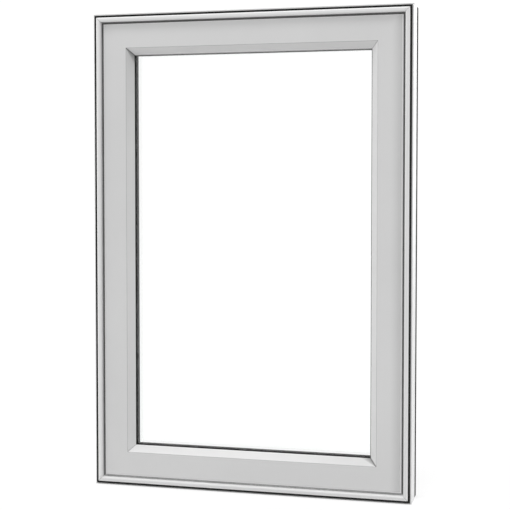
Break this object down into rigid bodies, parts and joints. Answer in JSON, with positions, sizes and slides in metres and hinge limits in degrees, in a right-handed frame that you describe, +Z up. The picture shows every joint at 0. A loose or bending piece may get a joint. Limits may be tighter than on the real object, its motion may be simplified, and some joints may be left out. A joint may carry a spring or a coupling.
{
  "type": "fixed picture window",
  "caption": "Upright fixed window in white vinyl: hollow mitred frame, bevelled glazing beads and clear sealed double glazing.",
  "frame": {"origin": "middle of the sill's underside, halfway through the frame's depth", "axes": "+Z up the jambs, +X to the right seen from the front, the front with the glazing beads faces -Y"},
  "size_m": [0.6096, 0.074, 0.9017],
  "materials": {
    "white_vinyl": "satin",
    "bead_vinyl": "satin",
    "black_seal": "matt",
    "grey_seal": "matt",
    "black_tape": "matt",
    "black_gasket": "matt",
    "black_spacer": "matt",
    "clear_glass": "polished",
    "block_plastic": "matt"
  },
  "bodies": {
    "root": {"frame_head": "white_vinyl", "frame_left_jamb": "white_vinyl", "frame_right_jamb": "white_vinyl", "frame_sill": "white_vinyl", "frame_tape_left": "black_tape", "frame_tape_right": "black_tape", "frame_tape_top": "black_tape", "front_gasket_bottom": "black_gasket", "front_gasket_left": "black_gasket", "front_gasket_right": "black_gasket", "front_gasket_top": "black_gasket", "glass_front_pane": "clear_glass", "glass_rear_pane": "clear_glass", "glass_spacer_bottom": "black_spacer", "glass_spacer_left": "black_spacer", "glass_spacer_right": "black_spacer", "glass_spacer_top": "black_spacer", "glazing_bead_bottom": "bead_vinyl", "glazing_bead_left": "bead_vinyl", "glazing_bead_right": "bead_vinyl", "glazing_bead_top": "bead_vinyl", "perimeter_seal_bottom": "black_seal", "perimeter_seal_left": "black_seal", "perimeter_seal_right": "black_seal", "perimeter_seal_top": "black_seal", "rear_gasket_bottom": "black_gasket", "rear_gasket_left": "black_gasket", "rear_gasket_right": "black_gasket", "rear_gasket_top": "black_gasket", "rear_seal_bottom": "grey_seal", "rear_seal_left": "grey_seal", "rear_seal_right": "grey_seal", "rear_seal_top": "grey_seal", "sash_bottom_rail": "white_vinyl", "sash_left_stile": "white_vinyl", "sash_packer_left": "block_plastic", "sash_packer_right": "block_plastic", "sash_right_stile": "white_vinyl", "sash_top_rail": "white_vinyl", "setting_block_left": "block_plastic", "setting_block_right": "block_plastic", "weather_seal_bottom": "grey_seal", "weather_seal_left": "grey_seal", "weather_seal_right": "grey_seal", "weather_seal_top": "grey_seal"}
  },
  "joints": []
}
